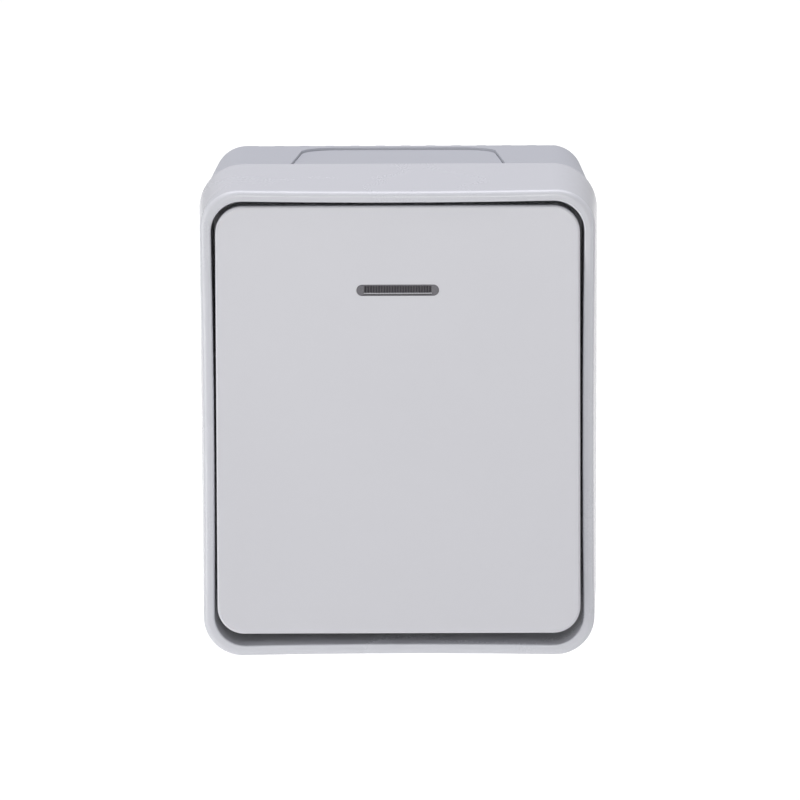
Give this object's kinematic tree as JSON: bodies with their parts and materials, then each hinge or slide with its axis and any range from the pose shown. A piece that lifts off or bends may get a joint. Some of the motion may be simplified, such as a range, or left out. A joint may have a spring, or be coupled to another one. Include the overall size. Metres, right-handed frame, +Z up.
{
  "type": "outdoor weatherproof switch",
  "caption": "Surface-mounted weatherproof wall switch with a drafted box, a front cover with a deep well, a large rocker key with a smoky indicator window, and its seesaw contact inside.",
  "frame": {"origin": "midway between the two wall screw holes, on the back plane that meets the wall", "axes": "+X to the viewer's right, +Y into the wall, +Z up"},
  "size_m": [0.0682, 0.0612, 0.082],
  "materials": {
    "shell_plastic": "satin moulded plastic, pale bluish grey",
    "key_plastic": "satin moulded plastic, pale bluish grey",
    "smoky_window": "smoky transparent plastic with fine ribs",
    "seal_rubber": "soft black rubber",
    "mechanism_plastic": "plain grey moulded plastic",
    "dolly_plastic": "slippery off-white plastic",
    "contact_brass": "stamped brass",
    "contact_silver": "silver alloy rivet",
    "screw_steel": "zinc-plated steel",
    "clear_plastic": "clear plastic",
    "lamp_glass": "clear glass neon tube",
    "resistor_ceramic": "lacquered resistor"
  },
  "bodies": {
    "housing": {"base_box": "shell_plastic", "front_cover": "shell_plastic", "entry_insert": "shell_plastic", "cover_gasket": "seal_rubber", "aperture_seal": "seal_rubber", "cover_screw_seals": "seal_rubber", "mechanism_base": "mechanism_plastic", "mechanism_cover": "mechanism_plastic", "lamp_holder": "mechanism_plastic", "common_contact": "contact_brass", "fixed_contact": "contact_brass", "terminal_clamps": "contact_brass", "lamp_leads": "contact_brass", "fixed_contact_tip": "contact_silver", "cover_screws": "screw_steel", "mechanism_screws": "screw_steel", "terminal_screws": "screw_steel", "light_guide": "clear_plastic", "indicator_lamp": "lamp_glass", "lamp_resistor": "resistor_ceramic"},
    "rocker": {"rocker_key": "key_plastic", "indicator_lens": "smoky_window", "rocker_dolly": "dolly_plastic", "plunger_spring": "screw_steel"},
    "plunger": {"contact_plunger": "dolly_plastic"},
    "lever": {"contact_lever": "contact_brass", "moving_contact_tip": "contact_silver"}
  },
  "joints": [
    {"name": "rocker_tilt", "type": "hinge", "parent": "housing", "child": "rocker", "pos_m": [0, -0.043, 0], "axis": [1, 0, 0], "range_deg": [0, 10.5]},
    {"name": "contact_tilt", "type": "hinge", "parent": "housing", "child": "lever", "pos_m": [0, -0.02089, 0], "axis": [1, 0, 0], "range_deg": [-17, 0]},
    {"name": "plunger_slide", "type": "slide", "parent": "rocker", "child": "plunger", "axis": [0, -0.9958, 0.0915], "range_m": [0, 0.0008], "stiffness_N_per_m": 250, "springref_m": -0.003, "deforming": ["plunger_spring"]}
  ],
  "couplings": [
    {"joint": "contact_tilt", "follows": "rocker_tilt", "ratio": -1.619}
  ]
}
